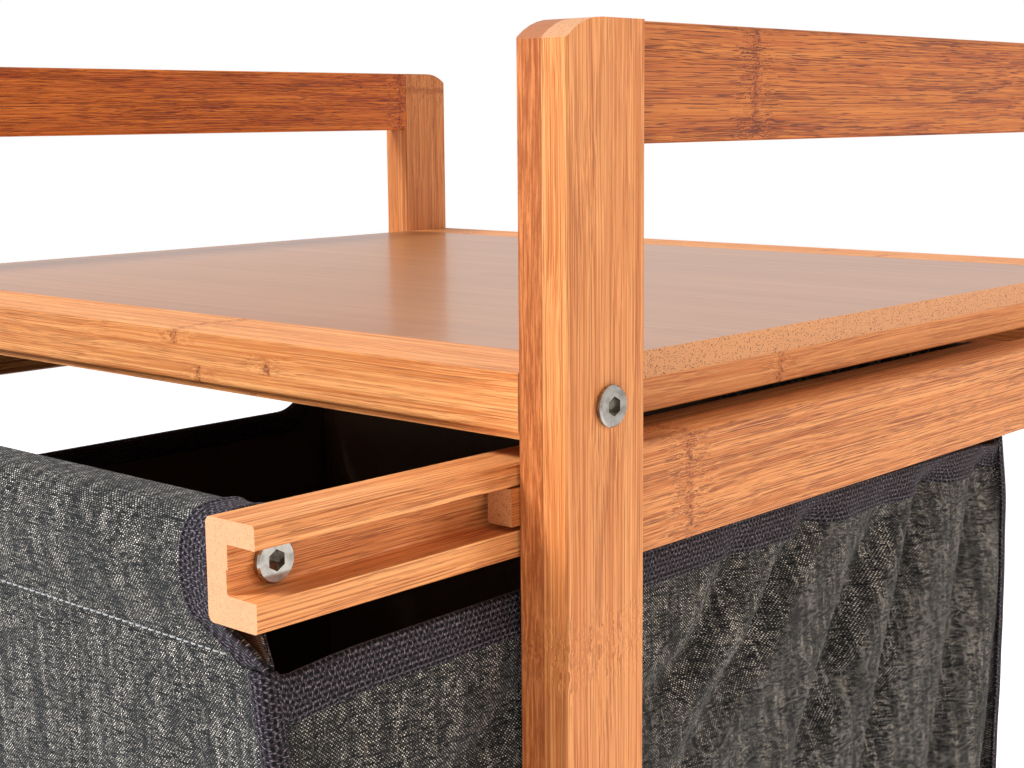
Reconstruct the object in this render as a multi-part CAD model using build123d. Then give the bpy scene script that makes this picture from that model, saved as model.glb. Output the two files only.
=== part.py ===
from build123d import *
import os

# A laundry sorter on wheels: a bamboo frame on four swivel casters, under whose top board a fabric bag
# hangs in a drawer frame that slides out to the front. Millimetres, with X across the cart, Y from its
# front to its back and Z up. The origin is on the floor, under the middle of the whole object.

# Overall
WIDTH = 475.0
DEPTH = 423.0
HEIGHT = 760.0
DRAWER_OUT = 93.3
FRONT = (DRAWER_OUT - DEPTH) / 2
BACK = FRONT + DEPTH
EDGE = 1.0

# Posts
POST_X = 18.0
POST_Y = 34.0
POST_FOOT = 66.0
CROWN_RUN = 15.0
CROWN_DROP = 5.7
OUTER = WIDTH / 2
INNER = OUTER - POST_X

# Top board
BOARD_TOP = HEIGHT - 96.0
BOARD = 19.1
PANEL = 8.5
LIP_HEIGHT = 1.5
BOARD_ROUND = 2.0
BATTEN_WIDTH = 34.0
BOARD_BOTTOM = BOARD_TOP - BOARD

# Rails between the posts
HANDLE_TOP = HEIGHT
HANDLE_HEIGHT = 34.0
HANDLE_RECESS = 4.4
SIDE_RAIL_HEIGHT = 33.0
SIDE_RAIL_RECESS = 2.4
SIDE_RAIL_TOP = BOARD_TOP - 23.0
LOWER_RAIL_TOP = 131.0
RAIL_EDGE = 1.5
STRETCHER = 15.0

# Slide: a runner on each side of the frame in a channel on each side of the drawer
RUNNER_REACH = 9.0
RUNNER_HEIGHT = 10.8
RUNNER_TOP = BOARD_TOP - 32.3
RUNNER_PROUD = 3.0
CHANNEL_GAP = 0.8
CHANNEL_WIDTH = 18.7
CHANNEL_TOP = BOARD_TOP - 25.6
CHANNEL_HEIGHT = 27.0
CHANNEL_LENGTH = DEPTH - 11.0
GROOVE_DEPTH = 10.6
GROOVE_TOP = CHANNEL_TOP - 6.2
GROOVE_HEIGHT = 13.0
GROOVE_STEP = 0.6
CHANNEL_ROUND = 2.0
CHANNEL_OUTER = INNER - CHANNEL_GAP
WEB_OUTER = CHANNEL_OUTER - GROOVE_DEPTH
WEB_INNER = CHANNEL_OUTER - CHANNEL_WIDTH
CHANNEL_FRONT = FRONT - DRAWER_OUT

# Crossbars of the drawer
CROSSBAR_Y = 15.0
CROSSBAR_Z = 20.0
CROSSBAR_INSET = 14.0
SLIDE_MID = GROOVE_TOP - GROOVE_HEIGHT / 2

# Bag
CLOTH = 2.0
SLEEVE_SLACK = 0.4
SLEEVE_ROUND = 4.5
BAG_HALF = INNER - 3.5
BAG_TOP = BOARD_TOP - 69.3
BAG_SHOULDER = 7.0
BAG_FLOOR = 150.0
BASE_BOARD = 3.0
TAPE = 0.8
TAPE_WIDTH = 9.0

# Bolts, inserts, dowels and screws
BOLT_RADIUS = 2.95
BOLT_HEAD_RADIUS = 6.0
BOLT_HEAD = 1.8
BOLT_GRIP = 15.0
HEXAGON = 5.0
HEXAGON_DEPTH = 3.0
BOLT_INSET = 18.0
HOLE_RADIUS = 3.1
INSERT_RADIUS = 4.5
INSERT_BORE = 3.0
INSERT_LENGTH = 16.0
DOWEL_RADIUS = 3.0
DOWEL_REACH = 12.0
DOWEL_SPREAD = 9.0
DOWEL_CLEARANCE = 0.05
SCREW_RADIUS = 1.9
SCREW_HEAD_RADIUS = 3.6
SCREW_LENGTH = 22.0
SCREW_INSET = 25.0

# Casters
WHEEL_RADIUS = 25.0
WHEEL_WIDTH = 18.0
TRAIL = 16.0
HUB_RADIUS = 19.5
HUB_WIDTH = 19.6
AXLE_RADIUS = 3.0
FORK_PLATE = 2.5
FORK_GAP = 21.0
FORK_TOP = 60.0
FORK_TOP_RADIUS = 14.0
AXLE_BOSS = 7.5
KINGPIN_RADIUS = 4.0
KINGPIN_HEAD = 6.5
STEM_LENGTH = 24.0
FLANGE_RADIUS = 8.5
FLANGE = 4.0
RUNNING = 0.06
GAP = 0.3
BRAKE_BACK = 26.0
BRAKE_HEIGHT = 53.0
BRAKE_PIN_RADIUS = 2.0
BRAKE_BOSS = 4.5
PEDAL_REACH = 54.0
PEDAL = 3.0

SIDES = {"right": 1, "left": -1}
ENDS = {"front": FRONT, "back": BACK}

os.makedirs("parts", exist_ok=True)


def save(node, *solids):
    """Writes one node, as one solid or as a group of separate ones."""
    shape = solids[0] if len(solids) == 1 else Compound(list(solids))
    export_step(shape, f"parts/{node}.step")


def block(x, y, z):
    """A box between two values of X, of Y and of Z."""
    middle = ((x[0] + x[1]) / 2, (y[0] + y[1]) / 2, (z[0] + z[1]) / 2)
    return Pos(*middle) * Box(abs(x[1] - x[0]), abs(y[1] - y[0]), abs(z[1] - z[0]))


def rod(start, end, radius):
    """A round rod between two points on a line along X, Y or Z."""
    line = Vector(*end) - Vector(*start)
    disc = Plane(origin=start, z_dir=line) * Circle(radius)
    return extrude(disc, line.length)


def prism_x(outline, x):
    """A section drawn in Y and Z, drawn out between two values of X."""
    return extrude(Plane.YZ.offset(x[0]) * outline, x[1] - x[0])


def prism_y(outline, y):
    """A section drawn in X and Z, drawn out between two values of Y."""
    return extrude(Plane.XZ.offset(-y[0]) * outline, y[0] - y[1])


def mirrored(solid, side):
    """The right-hand piece itself, or its mirror image for the left."""
    return solid if side > 0 else mirror(solid, about=Plane.YZ)


def both_sides(solids):
    """The right-hand solids and their mirror images."""
    return [mirrored(solid, side) for side in SIDES.values() for solid in solids]


def inward(y, distance):
    """The Y that lies a distance inside the frame from its front or back face."""
    return y + distance if y == FRONT else y - distance


# Fasteners, all drawn for the right-hand side with their heads towards +X


def flat_bolt(x, y, z, grip):
    """A flat-headed bolt with a hexagon socket, whose head rests at x and whose shank runs towards -X."""
    head = rod((x, y, z), (x + BOLT_HEAD, y, z), BOLT_HEAD_RADIUS)
    rim = head.edges().group_by(Axis.X)[-1]
    head = chamfer(rim, 0.5)
    shank = rod((x - grip, y, z), (x, y, z), BOLT_RADIUS)
    key = Plane(origin=(x + BOLT_HEAD - HEXAGON_DEPTH, y, z), z_dir=(1, 0, 0))
    socket = extrude(key * RegularPolygon(HEXAGON / 2, 6, major_radius=False), HEXAGON_DEPTH)
    return head + shank - socket


def insert(x, y, z):
    """A threaded insert whose outer end is at x."""
    body = rod((x - INSERT_LENGTH, y, z), (x, y, z), INSERT_RADIUS)
    return body - rod((x - INSERT_LENGTH, y, z), (x, y, z), INSERT_BORE)


def insert_hole(x, y, z):
    return rod((x - INSERT_LENGTH, y, z), (x, y, z), INSERT_RADIUS)


def runner_screw(x, y, z):
    """A countersunk wood screw whose flat head is flush at x, and whose point is towards +X."""
    seat = Plane(origin=(x, y, z), z_dir=(1, 0, 0))
    cone = SCREW_HEAD_RADIUS - SCREW_RADIUS
    taper = loft([seat * Circle(SCREW_HEAD_RADIUS), seat.offset(cone) * Circle(SCREW_RADIUS)])
    return taper + rod((x, y, z), (x + SCREW_LENGTH, y, z), SCREW_RADIUS)


# Where the fasteners go, on the right-hand side

BOARD_BOLTS = [(OUTER, inward(y, BOLT_INSET), BOARD_TOP - BOARD / 2) for y in ENDS.values()]
LOWER_MID = LOWER_RAIL_TOP - SIDE_RAIL_HEIGHT / 2
STRETCHER_BOLTS = [(OUTER, inward(y, POST_Y / 2), LOWER_MID) for y in ENDS.values()]
STOP_BOLT = (OUTER, BACK - STRETCHER / 2, SIDE_RAIL_TOP - SIDE_RAIL_HEIGHT / 2)
FRAME_BOLTS = BOARD_BOLTS + STRETCHER_BOLTS + [STOP_BOLT]
CROSSBAR_MIDS = [CHANNEL_FRONT + CROSSBAR_INSET, CHANNEL_FRONT + CHANNEL_LENGTH - CROSSBAR_INSET]
RUNNER_MID = RUNNER_TOP - RUNNER_HEIGHT / 2
RUNNER_TIP = INNER - RUNNER_REACH
RUNNER_SCREWS = [(RUNNER_TIP, inward(y, SCREW_INSET), RUNNER_MID) for y in ENDS.values()]
RAIL_MIDS = {
    "handle_rail": (INNER + OUTER - HANDLE_RECESS, HANDLE_TOP - HANDLE_HEIGHT / 2),
    "upper_side_rail": (INNER + OUTER - SIDE_RAIL_RECESS, SIDE_RAIL_TOP - SIDE_RAIL_HEIGHT / 2),
    "lower_side_rail": (INNER + OUTER - SIDE_RAIL_RECESS, LOWER_MID),
}


def dowels(radius, reach):
    """The dowels of the right-hand rails, two in each end, half in the rail and half in the post."""
    pegs = []
    for x_sum, z in RAIL_MIDS.values():
        for y in ENDS.values():
            joint = inward(y, POST_Y)
            for lift in (-DOWEL_SPREAD, DOWEL_SPREAD):
                start = (x_sum / 2, joint - reach, z + lift)
                pegs.append(rod(start, (x_sum / 2, joint + reach, z + lift), radius))
    return pegs


def stem_centre(y):
    """X and Y of a right-hand caster's stem, in the middle of its post."""
    return (INNER + OUTER) / 2, inward(y, POST_Y / 2)


# Frame


def post(y):
    """A right-hand post. The crown is a round corner on its outer side, at the front or the back."""
    face, run, beyond = y, inward(y, CROWN_RUN), inward(y, POST_Y)
    crown = TangentArc((run, HEIGHT), (face, HEIGHT - CROWN_DROP), tangent=(face - run, 0))
    shoulder = (face, HEIGHT - CROWN_DROP)
    rest = Polyline(shoulder, (face, POST_FOOT), (beyond, POST_FOOT), (beyond, HEIGHT), (run, HEIGHT))
    solid = prism_x(make_face(crown + rest), (INNER, OUTER))
    solid = fillet(solid.edges().filter_by(Axis.Z), EDGE)
    for bolt_x, bolt_y, bolt_z in FRAME_BOLTS:
        solid -= rod((INNER, bolt_y, bolt_z), (bolt_x, bolt_y, bolt_z), HOLE_RADIUS)
    for peg in dowels(DOWEL_RADIUS + DOWEL_CLEARANCE, DOWEL_REACH + DOWEL_CLEARANCE):
        solid -= peg
    for screw in RUNNER_SCREWS:
        solid -= runner_screw(*screw)
    x, y_stem = stem_centre(y)
    return solid - rod((x, y_stem, POST_FOOT), (x, y_stem, POST_FOOT + STEM_LENGTH), INSERT_RADIUS + 1)


def rail(top, height, recess):
    """A right-hand rail between the front and the back post, flush with their inner faces."""
    solid = block((INNER, OUTER - recess), (FRONT + POST_Y, BACK - POST_Y), (top - height, top))
    solid = fillet(solid.edges().filter_by(Axis.Y), RAIL_EDGE)
    for peg in dowels(DOWEL_RADIUS + DOWEL_CLEARANCE, DOWEL_REACH + DOWEL_CLEARANCE):
        solid -= peg
    return solid


def crossways(y, z, edge, bolts):
    """A piece between the left and right posts, bored at both ends for the inserts of its bolts."""
    solid = block((-INNER, INNER), y, z)
    solid = fillet(solid.edges().filter_by(Axis.X), edge)
    for bolt_x, bolt_y, bolt_z in bolts:
        for hole in both_sides([insert_hole(INNER, bolt_y, bolt_z)]):
            solid -= hole
    return solid


def board_end_rail(y, bolt):
    """The front or back rail of the board: full thickness, with a rounded lower edge over a narrow lip."""
    away = inward(y, POST_Y)
    lip = inward(y, BOARD_ROUND)
    shoulder = BOARD_BOTTOM + LIP_HEIGHT
    arc = TangentArc((y, shoulder + BOARD_ROUND), (lip, shoulder), tangent=(0, -1))
    rest = Polyline(
        (lip, shoulder),
        (lip, BOARD_BOTTOM),
        (away, BOARD_BOTTOM),
        (away, BOARD_TOP),
        (y, BOARD_TOP),
        (y, shoulder + BOARD_ROUND),
    )
    solid = prism_x(make_face(arc + rest), (-INNER, INNER))
    for hole in both_sides([insert_hole(INNER, bolt[1], bolt[2])]):
        solid -= hole
    return solid


def make_frame():
    for end, y in ENDS.items():
        for side, sign in SIDES.items():
            save(f"post_{end}_{side}", mirrored(post(y), sign))
    rails = {
        "handle_rail": rail(HANDLE_TOP, HANDLE_HEIGHT, HANDLE_RECESS),
        "upper_side_rail": rail(SIDE_RAIL_TOP, SIDE_RAIL_HEIGHT, SIDE_RAIL_RECESS),
        "lower_side_rail": rail(LOWER_RAIL_TOP, SIDE_RAIL_HEIGHT, SIDE_RAIL_RECESS),
    }
    inside = (FRONT + POST_Y, BACK - POST_Y)
    batten = block((INNER - BATTEN_WIDTH, INNER), inside, (BOARD_BOTTOM, BOARD_TOP - PANEL))
    batten = fillet(batten.edges().filter_by(Axis.Y).group_by(Axis.Z)[0], EDGE)
    reach = (FRONT - RUNNER_PROUD, BACK - STRETCHER)
    runner = block((RUNNER_TIP, INNER), reach, (RUNNER_TOP - RUNNER_HEIGHT, RUNNER_TOP))
    runner = fillet(runner.edges().filter_by(Axis.Y).group_by(Axis.X)[0], EDGE)
    for screw in RUNNER_SCREWS:
        runner -= runner_screw(*screw)
    for side, sign in SIDES.items():
        for name, solid in rails.items():
            save(f"{name}_{side}", mirrored(solid, sign))
        save(f"board_batten_{side}", mirrored(batten, sign))
        save(f"runner_{side}", mirrored(runner, sign))
    save("board_panel", block((-INNER, INNER), inside, (BOARD_TOP - PANEL, BOARD_TOP)))
    for (end, y), bolt in zip(ENDS.items(), BOARD_BOLTS):
        save(f"board_{end}_rail", board_end_rail(y, bolt))
    low = (LOWER_RAIL_TOP - SIDE_RAIL_HEIGHT, LOWER_RAIL_TOP)
    for (end, y), bolt in zip(ENDS.items(), STRETCHER_BOLTS):
        near, far = inward(y, (POST_Y - STRETCHER) / 2), inward(y, (POST_Y + STRETCHER) / 2)
        save(f"lower_{end}_stretcher", crossways((near, far), low, RAIL_EDGE, [bolt]))
    high = (SIDE_RAIL_TOP - SIDE_RAIL_HEIGHT, SIDE_RAIL_TOP)
    save("rear_stop_rail", crossways((BACK - STRETCHER, BACK), high, RAIL_EDGE, [STOP_BOLT]))
    save("frame_bolts", *both_sides([flat_bolt(x, y, z, POST_X + BOLT_GRIP) for x, y, z in FRAME_BOLTS]))
    save("frame_inserts", *both_sides([insert(INNER, y, z) for _, y, z in FRAME_BOLTS]))
    save("rail_dowels", *both_sides(dowels(DOWEL_RADIUS, DOWEL_REACH)))
    save("runner_screws", *both_sides([runner_screw(*screw) for screw in RUNNER_SCREWS]))


# Drawer: channels, crossbars and the bag


def channel():
    """The right-hand channel: a square-edged groove in its outer face, deeper in its lower half."""
    bottom = CHANNEL_TOP - CHANNEL_HEIGHT
    groove_bottom = GROOVE_TOP - GROOVE_HEIGHT
    ends = (CHANNEL_FRONT, CHANNEL_FRONT + CHANNEL_LENGTH)
    body = block((WEB_INNER, CHANNEL_OUTER), ends, (bottom, CHANNEL_TOP))
    along = body.edges().filter_by(Axis.Y).group_by(Axis.X)
    body = fillet(along[0], CHANNEL_ROUND)
    body = fillet(body.edges().filter_by(Axis.Y).group_by(Axis.X)[-1], EDGE)
    upper = block((WEB_OUTER, CHANNEL_OUTER + 1), ends, (SLIDE_MID, GROOVE_TOP))
    lower = block((WEB_OUTER - GROOVE_STEP, CHANNEL_OUTER + 1), ends, (groove_bottom, SLIDE_MID))
    corner = lower.edges().filter_by(Axis.Y).group_by(Axis.Z)[0].sort_by(Axis.X)[0]
    body -= upper + fillet(corner, EDGE)
    for y in CROSSBAR_MIDS:
        body -= rod((WEB_INNER, y, SLIDE_MID), (WEB_OUTER, y, SLIDE_MID), HOLE_RADIUS)
    return body


def crossbar(y):
    """A bar between the channels, inside a sleeve of the bag."""
    half_y, half_z = CROSSBAR_Y / 2, CROSSBAR_Z / 2
    solid = block((-WEB_INNER, WEB_INNER), (y - half_y, y + half_y), (SLIDE_MID - half_z, SLIDE_MID + half_z))
    solid = fillet(solid.edges().filter_by(Axis.X), RAIL_EDGE)
    for hole in both_sides([insert_hole(WEB_INNER, y, SLIDE_MID)]):
        solid -= hole
    return solid


def sleeve_ring(y, inside, outside, x):
    """A closed band round a crossbar, between two distances from it, drawn out between two values of X."""
    centre = Pos(y, SLIDE_MID)
    hole = RectangleRounded(CROSSBAR_Y + 2 * inside, CROSSBAR_Z + 2 * inside, SLEEVE_ROUND - CLOTH)
    skin = RectangleRounded(CROSSBAR_Y + 2 * outside, CROSSBAR_Z + 2 * outside, SLEEVE_ROUND)
    return prism_x(centre * skin - centre * hole, x)


def bag_end(y, outward):
    """The front or back panel of the bag: a sleeve round its crossbar, and the cloth that hangs from it."""
    reach = CROSSBAR_Y / 2 + SLEEVE_SLACK + CLOTH
    face = y + outward * reach
    half = WEB_INNER - TAPE
    neck = CHANNEL_TOP - CHANNEL_HEIGHT - 1.0
    shoulder = neck - BAG_SHOULDER
    outline = make_face(
        Polyline(
            (-half, SLIDE_MID),
            (-half, neck),
            (-BAG_HALF, shoulder),
            (-BAG_HALF, BAG_FLOOR),
            (BAG_HALF, BAG_FLOOR),
            (BAG_HALF, shoulder),
            (half, neck),
            (half, SLIDE_MID),
            close=True,
        )
    )
    hanging = prism_y(outline, (min(face, face - outward * CLOTH), max(face, face - outward * CLOTH)))
    return sleeve_ring(y, SLEEVE_SLACK, SLEEVE_SLACK + CLOTH, (-half, half)) + hanging


def sleeve_tape(y):
    """The tape over the right-hand end of a sleeve. It stops where the sleeve turns in under the crossbar."""
    skin = SLEEVE_SLACK + CLOTH
    ends = (WEB_INNER - TAPE - TAPE_WIDTH, WEB_INNER - TAPE)
    foot = SLIDE_MID - CROSSBAR_Z / 2 - skin - TAPE
    beyond = (y - CROSSBAR_Y, y + CROSSBAR_Y)
    return sleeve_ring(y, skin, skin + TAPE, ends) - block(ends, beyond, (foot, foot + TAPE + SLEEVE_ROUND))


def make_wooden_drawer():
    """The two channels, the two crossbars between them and their fasteners."""
    grip = WEB_OUTER - WEB_INNER + BOLT_GRIP
    for side, sign in SIDES.items():
        save(f"channel_{side}", mirrored(channel(), sign))
    for end, y in zip(ENDS, CROSSBAR_MIDS):
        save(f"crossbar_{end}", crossbar(y))
    save("channel_bolts", *both_sides([flat_bolt(WEB_OUTER, y, SLIDE_MID, grip) for y in CROSSBAR_MIDS]))
    save("crossbar_inserts", *both_sides([insert(WEB_INNER, y, SLIDE_MID) for y in CROSSBAR_MIDS]))


def make_bag():
    """The five panels of the bag, the stiff board in its bottom and the tape along its edges."""
    reach = CROSSBAR_Y / 2 + SLEEVE_SLACK + CLOTH
    inside = (CROSSBAR_MIDS[0] - reach + CLOTH, CROSSBAR_MIDS[1] + reach - CLOTH)
    lining = BAG_HALF - CLOTH
    cloth = block((lining, BAG_HALF), inside, (BAG_FLOOR, BAG_TOP))
    tape = block((lining - TAPE, BAG_HALF + TAPE), inside, (BAG_TOP - TAPE_WIDTH, BAG_TOP + TAPE)) - cloth
    for side, sign in SIDES.items():
        save(f"bag_{side}_panel", mirrored(cloth, sign))
    save("side_bindings", *both_sides([tape]))
    save("bag_bottom", block((-lining, lining), inside, (BAG_FLOOR, BAG_FLOOR + CLOTH)))
    board_y = (inside[0] + CLOTH, inside[1] - CLOTH)
    board_z = (BAG_FLOOR + CLOTH, BAG_FLOOR + CLOTH + BASE_BOARD)
    save("bag_base_board", block((CLOTH - lining, lining - CLOTH), board_y, board_z))
    rings = []
    strips = []
    for end, y, outward in zip(ENDS, CROSSBAR_MIDS, (-1, 1)):
        save(f"bag_{end}_panel", bag_end(y, outward))
        rings.append(sleeve_tape(y))
        face = y + outward * reach
        height = (BAG_FLOOR, BAG_TOP + TAPE)
        strips.append(block((BAG_HALF - TAPE_WIDTH, BAG_HALF), (face, face + outward * TAPE), height))
    save("sleeve_bindings", *both_sides(rings))
    save("corner_bindings", *both_sides(strips))


# Casters


def caster_stem(x, y):
    """The threaded stem, its flange and the riveted pin that the fork swivels on."""
    below = FORK_TOP - FORK_PLATE - 2 * GAP
    stem = rod((x, y, POST_FOOT), (x, y, POST_FOOT + STEM_LENGTH), KINGPIN_RADIUS)
    flange = rod((x, y, POST_FOOT - FLANGE), (x, y, POST_FOOT), FLANGE_RADIUS)
    pin = rod((x, y, below), (x, y, POST_FOOT - FLANGE), KINGPIN_RADIUS)
    head = rod((x, y, below - PEDAL), (x, y, below), KINGPIN_HEAD)
    return stem + flange + pin + head


def caster_insert(x, y):
    """The threaded insert of a caster's stem, in the foot of its post."""
    ends = ((x, y, POST_FOOT), (x, y, POST_FOOT + STEM_LENGTH))
    return rod(*ends, INSERT_RADIUS + 1) - rod(*ends, KINGPIN_RADIUS + RUNNING)


def swivel_washer(x, y):
    """The plastic washer between the stem's flange and the fork."""
    ends = ((x, y, FORK_TOP + GAP), (x, y, POST_FOOT - FLANGE))
    return rod(*ends, FORK_TOP_RADIUS - 2) - rod(*ends, KINGPIN_RADIUS + GAP)


def fork(x, y, braked):
    """A pressed fork: a round top plate and two cheeks that reach back to the axle."""
    axle = Pos(y - TRAIL, WHEEL_RADIUS) * Circle(AXLE_BOSS)
    shoulder = Pos(y, FORK_TOP - FORK_TOP_RADIUS / 4) * Rectangle(2 * FORK_TOP_RADIUS, FORK_TOP_RADIUS / 2)
    corners = axle.edges() + shoulder.edges()
    pin = Pos(y - BRAKE_BACK, BRAKE_HEIGHT)
    if braked:
        corners = corners + (pin * Circle(BRAKE_BOSS)).edges()
    cheek = make_hull(corners) - Pos(y - TRAIL, WHEEL_RADIUS) * Circle(AXLE_RADIUS + RUNNING)
    if braked:
        cheek -= pin * Circle(BRAKE_PIN_RADIUS + RUNNING)
    inner = FORK_GAP / 2
    solid = prism_x(cheek, (x + inner, x + inner + FORK_PLATE))
    solid += prism_x(cheek, (x - inner - FORK_PLATE, x - inner))
    plate = (FORK_TOP - FORK_PLATE, FORK_TOP)
    across = (x - inner - FORK_PLATE, x + inner + FORK_PLATE)
    solid += block(across, (y - FORK_TOP_RADIUS, y + FORK_TOP_RADIUS), plate)
    return solid - rod((x, y, plate[0]), (x, y, plate[1]), KINGPIN_RADIUS + RUNNING)


def axle(x, y):
    """A riveted axle through both cheeks of a fork."""
    half = FORK_GAP / 2 + FORK_PLATE
    centre = (y - TRAIL, WHEEL_RADIUS)
    solid = rod((x - half - 1, *centre), (x + half + 1, *centre), AXLE_RADIUS)
    for sign in (-1, 1):
        solid += rod((x + sign * half, *centre), (x + sign * (half + 2), *centre), AXLE_RADIUS + 2)
    return solid


def wheel_hub(x, y):
    """The wheel's plastic body, dished on both sides between its bore and its rim."""
    centre = (y - TRAIL, WHEEL_RADIUS)
    rim_half = WHEEL_WIDTH / 2 - 1
    solid = rod((x - rim_half, *centre), (x + rim_half, *centre), HUB_RADIUS)
    for sign in (-1, 1):
        near, far = x + sign * (rim_half - 3), x + sign * rim_half
        solid -= rod((near, *centre), (far, *centre), HUB_RADIUS - 3)
    solid += rod((x - HUB_WIDTH / 2, *centre), (x + HUB_WIDTH / 2, *centre), AXLE_RADIUS + 3)
    return solid - rod((x - HUB_WIDTH / 2, *centre), (x + HUB_WIDTH / 2, *centre), AXLE_RADIUS + RUNNING)


def tyre(x, y):
    """The tread round a wheel, with rounded shoulders."""
    centre = (y - TRAIL, WHEEL_RADIUS)
    half = WHEEL_WIDTH / 2
    solid = rod((x - half, *centre), (x + half, *centre), WHEEL_RADIUS)
    solid = fillet(solid.edges().filter_by(GeomType.CIRCLE), 3)
    return solid - rod((x - half, *centre), (x + half, *centre), HUB_RADIUS)


def brake_lever(x, y):
    """A pedal on two trunnions between the cheeks, with a rounded pad above the tyre."""
    pin_y = y - BRAKE_BACK
    boss = Pos(pin_y, BRAKE_HEIGHT) * Circle(BRAKE_BOSS - 1)
    pad = Pos(y - BRAKE_BACK - 8, BRAKE_HEIGHT - 4) * Circle(PEDAL)
    tip = Pos(y - PEDAL_REACH + 1.5, BRAKE_HEIGHT - 1) * Circle(PEDAL / 2)
    web = make_hull(boss.edges() + pad.edges()) + make_hull(boss.edges() + tip.edges())
    half = FORK_GAP / 2 - GAP
    solid = prism_x(web, (x - half, x + half))
    reach = FORK_GAP / 2 + FORK_PLATE
    return solid + rod((x - reach, pin_y, BRAKE_HEIGHT), (x + reach, pin_y, BRAKE_HEIGHT), BRAKE_PIN_RADIUS)


def make_casters():
    centres = [stem_centre(y) for y in ENDS.values()]
    save("caster_stems", *both_sides([caster_stem(*centre) for centre in centres]))
    save("caster_inserts", *both_sides([caster_insert(*centre) for centre in centres]))
    save("swivel_washers", *both_sides([swivel_washer(*centre) for centre in centres]))
    for end, centre in zip(ENDS, centres):
        pieces = {
            "fork": fork(*centre, end == "front"),
            "axle": axle(*centre),
            "wheel_hub": wheel_hub(*centre),
            "tyre": tyre(*centre),
        }
        if end == "front":
            pieces["brake_lever"] = brake_lever(*centre)
        for side, sign in SIDES.items():
            for name, solid in pieces.items():
                save(f"{name}_{end}_{side}", mirrored(solid, sign))


make_frame()
make_wooden_drawer()
make_bag()
make_casters()
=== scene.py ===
import math
import random

import bpy
from mathutils import Matrix, Vector, noise


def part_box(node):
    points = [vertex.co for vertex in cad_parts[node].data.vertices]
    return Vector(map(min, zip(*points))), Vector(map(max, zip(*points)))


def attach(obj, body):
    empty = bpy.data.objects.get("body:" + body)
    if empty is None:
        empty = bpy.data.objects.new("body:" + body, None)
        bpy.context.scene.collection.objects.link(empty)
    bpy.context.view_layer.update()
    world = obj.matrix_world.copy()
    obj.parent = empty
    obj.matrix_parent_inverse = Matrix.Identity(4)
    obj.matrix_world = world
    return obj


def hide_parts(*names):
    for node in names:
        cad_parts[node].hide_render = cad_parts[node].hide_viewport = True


# The looks of a laundry sorter on wheels: materials for its bamboo frame and its hardware, the cloth bag
# that hangs in its drawer, and the light, floor and camera. Lengths are in metres, apart from those that
# are divided by MM or multiplied by it, which are in millimetres.

MM = 0.001
MILLIMETRES = 1000.0
SIDES = {"right": 1, "left": -1}
ENDS = {"front": -1, "back": 1}
CLOTH_MAP = "cloth"

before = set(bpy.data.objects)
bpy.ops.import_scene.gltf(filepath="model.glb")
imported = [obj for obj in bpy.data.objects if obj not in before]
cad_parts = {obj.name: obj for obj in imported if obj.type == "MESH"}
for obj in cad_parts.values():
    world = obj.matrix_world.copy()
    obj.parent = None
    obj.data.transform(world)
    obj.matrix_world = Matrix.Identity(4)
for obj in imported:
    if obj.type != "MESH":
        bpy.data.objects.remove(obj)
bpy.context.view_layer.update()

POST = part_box("post_front_right")
BOARD_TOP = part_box("board_panel")[1].z
CROSSBARS = {end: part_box(f"crossbar_{end}") for end in ENDS}
SIDE_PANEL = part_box("bag_right_panel")
BAG_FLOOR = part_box("bag_bottom")[0].z


def middle(box, axis):
    return (box[0][axis] + box[1][axis]) / 2


# Materials


def colour(red, green, blue):
    """A colour on the screen's scale of 0 to 255, as the linear value that a shader takes."""
    parts = [part / 255 for part in (red, green, blue)]
    return tuple(p / 12.92 if p <= 0.04045 else ((p + 0.055) / 1.055) ** 2.4 for p in parts) + (1.0,)


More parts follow.
